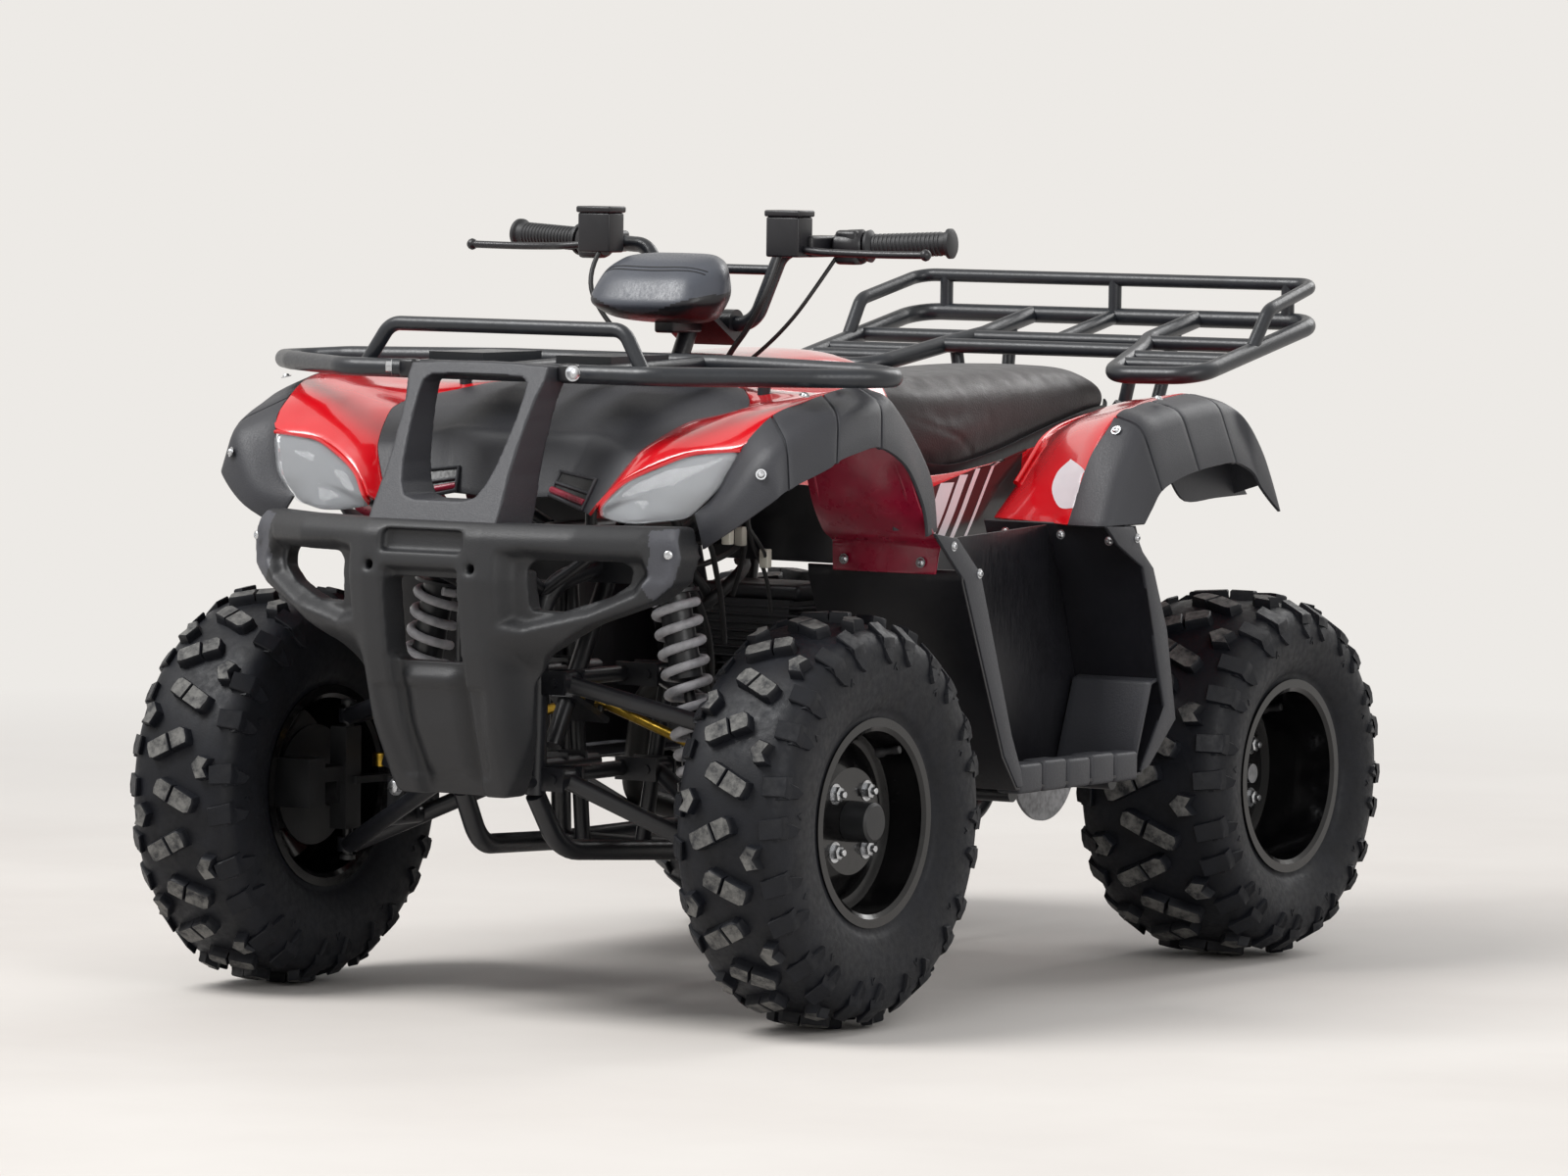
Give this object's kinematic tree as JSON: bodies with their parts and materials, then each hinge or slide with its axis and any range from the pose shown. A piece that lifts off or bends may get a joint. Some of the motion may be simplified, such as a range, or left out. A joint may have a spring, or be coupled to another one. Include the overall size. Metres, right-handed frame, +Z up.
{
  "type": "quad bike",
  "caption": "Straddled utility quad with knobby tyres, a moulded front guard, tube racks front and rear, footwells, a long seat and bar steering through tie rods.",
  "frame": {"origin": "on the ground, midway between the axles and between the front guard and the rear rack", "axes": "front towards -Y, the driver's left is +X, +Z up"},
  "size_m": [1.07, 1.83, 1.089],
  "materials": {
    "frame_black": "black powder coat on welded tube",
    "rack_black": "satin black powder coat",
    "satin_plastic": "textured dark grey moulded polypropylene",
    "board_black": "plain black moulded polypropylene",
    "control_black": "black rubber and plastic controls",
    "red_gloss": "red gloss moulded plastic",
    "lamp_clear": "clear polycarbonate lens",
    "lamp_red": "red lens",
    "seat_vinyl": "black grained vinyl over foam",
    "tyre_rubber": "black rubber with dusty lugs",
    "rim_black": "gloss black pressed steel",
    "axle_steel": "machined steel",
    "chain_steel": "oiled steel",
    "cast_grey": "cast, painted dark",
    "engine_cast": "cast aluminium, dark",
    "exhaust_steel": "heat-resistant black over steel",
    "spring_grey": "grey powder-coated coil over a black damper",
    "zinc_yellow": "yellow zinc plating"
  },
  "bodies": {
    "chassis": {"main_frame": "frame_black", "engine": "engine_cast", "exhaust": "exhaust_steel", "swingarm": "frame_black", "rear_shock": "spring_grey", "front_shocks": "spring_grey", "upper_arms": "frame_black", "lower_arms": "frame_black", "bumper": "satin_plastic", "bumper_tower": "satin_plastic", "front_rack": "rack_black", "nose_cover": "satin_plastic", "front_fenders": "red_gloss", "headlights": "lamp_clear", "front_flares": "satin_plastic", "tank_cover": "red_gloss", "seat": "seat_vinyl", "side_panels": "red_gloss", "rear_fenders": "red_gloss", "rear_flares": "satin_plastic", "rear_rack": "rack_black", "footwells": "board_black", "tail_light": "lamp_red", "chain": "chain_steel", "drive_sprocket": "axle_steel"},
    "steering": {"steering_stem": "frame_black", "handlebar": "rack_black", "hand_control_left": "control_black", "hand_control_right": "control_black", "instrument_pod": "satin_plastic"},
    "knuckle_left": {"knuckle_left": "cast_grey"},
    "knuckle_right": {"knuckle_right": "cast_grey"},
    "tie_rod_left": {"tie_rod_left": "zinc_yellow"},
    "tie_rod_right": {"tie_rod_right": "zinc_yellow"},
    "front_wheel_left": {"front_hub_left": "cast_grey", "front_rim_left": "rim_black", "front_tyre_left": "tyre_rubber"},
    "front_wheel_right": {"front_hub_right": "cast_grey", "front_rim_right": "rim_black", "front_tyre_right": "tyre_rubber"},
    "rear_wheels": {"rear_axle": "axle_steel", "rear_rim_left": "rim_black", "rear_rim_right": "rim_black", "rear_tyre_left": "tyre_rubber", "rear_tyre_right": "tyre_rubber"}
  },
  "joints": [
    {"name": "steering", "type": "hinge", "parent": "chassis", "child": "steering", "pos_m": [0, -0.57, 0.392], "axis": [0, 0.5, 0.866], "range_deg": [-35, 35]},
    {"name": "kingpin_left", "type": "hinge", "parent": "chassis", "child": "knuckle_left", "pos_m": [0.345, -0.59, 0.28], "axis": [0, 0, 1], "range_deg": [-30, 30]},
    {"name": "kingpin_right", "type": "hinge", "parent": "chassis", "child": "knuckle_right", "pos_m": [-0.345, -0.59, 0.28], "axis": [0, 0, 1], "range_deg": [-30, 30]},
    {"name": "rod_pin_left", "type": "hinge", "parent": "steering", "child": "tie_rod_left", "pos_m": [0.022, -0.513, 0.392], "axis": [0, 0.5, 0.866], "range_deg": [-40, 40]},
    {"name": "rod_pin_right", "type": "hinge", "parent": "steering", "child": "tie_rod_right", "pos_m": [-0.022, -0.513, 0.392], "axis": [0, 0.5, 0.866], "range_deg": [-40, 40]},
    {"name": "front_wheel_spin_left", "type": "hinge", "parent": "knuckle_left", "child": "front_wheel_left", "pos_m": [0.45, -0.59, 0.28], "axis": [-1, 0, 0], "continuous": true},
    {"name": "front_wheel_spin_right", "type": "hinge", "parent": "knuckle_right", "child": "front_wheel_right", "pos_m": [-0.45, -0.59, 0.28], "axis": [-1, 0, 0], "continuous": true},
    {"name": "rear_axle_spin", "type": "hinge", "parent": "chassis", "child": "rear_wheels", "pos_m": [0, 0.59, 0.267], "axis": [-1, 0, 0], "continuous": true}
  ],
  "couplings": [
    {"joint": "kingpin_left", "follows": "steering", "ratio": 0.79},
    {"joint": "kingpin_right", "follows": "steering", "ratio": 0.79},
    {"joint": "rod_pin_left", "follows": "steering", "ratio": -0.97},
    {"joint": "rod_pin_right", "follows": "steering", "ratio": -0.97}
  ]
}
